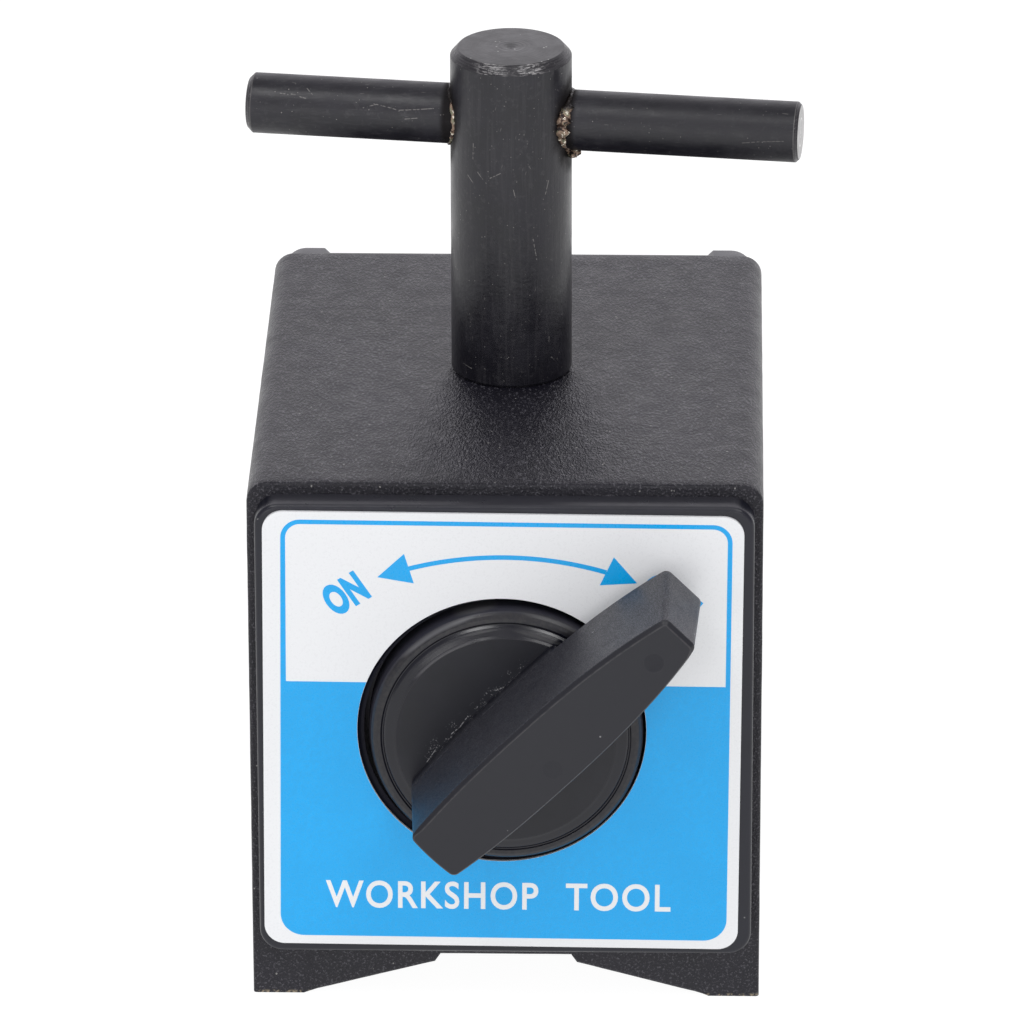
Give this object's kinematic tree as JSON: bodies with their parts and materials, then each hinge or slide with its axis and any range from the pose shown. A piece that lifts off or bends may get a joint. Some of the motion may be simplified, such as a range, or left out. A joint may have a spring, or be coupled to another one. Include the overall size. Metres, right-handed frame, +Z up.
{
  "type": "switchable magnetic base",
  "caption": "Switchable magnetic base: a coated steel block with a vee foot, a rotary switch knob on its front and a screwed T-handled post on top.",
  "frame": {"origin": "on the surface that the base stands on, at the centre of the whole tool's footprint; the post's axis is 6.9 mm behind it and 1.3 mm to its left", "axes": "+Z up along the post; the switch knob faces -Y; +X to the right as seen from the knob's side, roughly along the cross bar"},
  "size_m": [0.0552, 0.0798, 0.089],
  "materials": {
    "coated_steel": "fine orange-peel charcoal coat",
    "spacer_brass": "machined",
    "cover_plastic": "satin moulded black",
    "label_print": "printed white and blue film",
    "screw_steel": "turned",
    "magnet": "sintered",
    "soft_iron": "turned",
    "knob_plastic": "satin moulded black",
    "black_steel": "blackened, lightly scratched"
  },
  "bodies": {
    "base": {"left_pole_block": "coated_steel", "right_pole_block": "coated_steel", "top_spacer": "spacer_brass", "bottom_spacer": "spacer_brass", "stop_pin": "screw_steel", "front_cover": "cover_plastic", "label_plate": "label_print", "rear_cover": "cover_plastic", "front_cover_screw_1": "screw_steel", "front_cover_screw_2": "screw_steel", "front_cover_screw_3": "screw_steel", "front_cover_screw_4": "screw_steel", "rear_cover_screw_1": "screw_steel", "rear_cover_screw_2": "screw_steel", "rear_cover_screw_3": "screw_steel", "rear_cover_screw_4": "screw_steel"},
    "rotor": {"rotor_magnet": "magnet", "rotor_shoe_upper": "soft_iron", "rotor_shoe_lower": "soft_iron", "rotor_front_cap": "cover_plastic", "rotor_rear_cap": "cover_plastic", "rotor_tie_rod_upper": "screw_steel", "rotor_tie_rod_lower": "screw_steel", "knob": "knob_plastic", "knob_insert": "spacer_brass", "knob_screw": "screw_steel"},
    "washer": {"post_lock_washer": "screw_steel"},
    "handle": {"post": "black_steel", "cross_bar": "black_steel", "threaded_stud": "screw_steel"}
  },
  "joints": [
    {"name": "knob_turn", "type": "hinge", "parent": "base", "child": "rotor", "pos_m": [-0.00128, 0.0069, 0.03], "axis": [0, -1, 0], "range_deg": [0, 90]},
    {"name": "post_lift", "type": "slide", "parent": "base", "child": "washer", "axis": [0, 0, 1], "range_m": [0, 0.0075]},
    {"name": "post_turn", "type": "hinge", "parent": "washer", "child": "handle", "pos_m": [-0.00128, 0.0069, 0.07], "axis": [0, 0, 1], "range_deg": [0, 2160]}
  ],
  "couplings": [
    {"joint": "post_lift", "follows": "post_turn", "m_per_rad": 0.00019894}
  ]
}
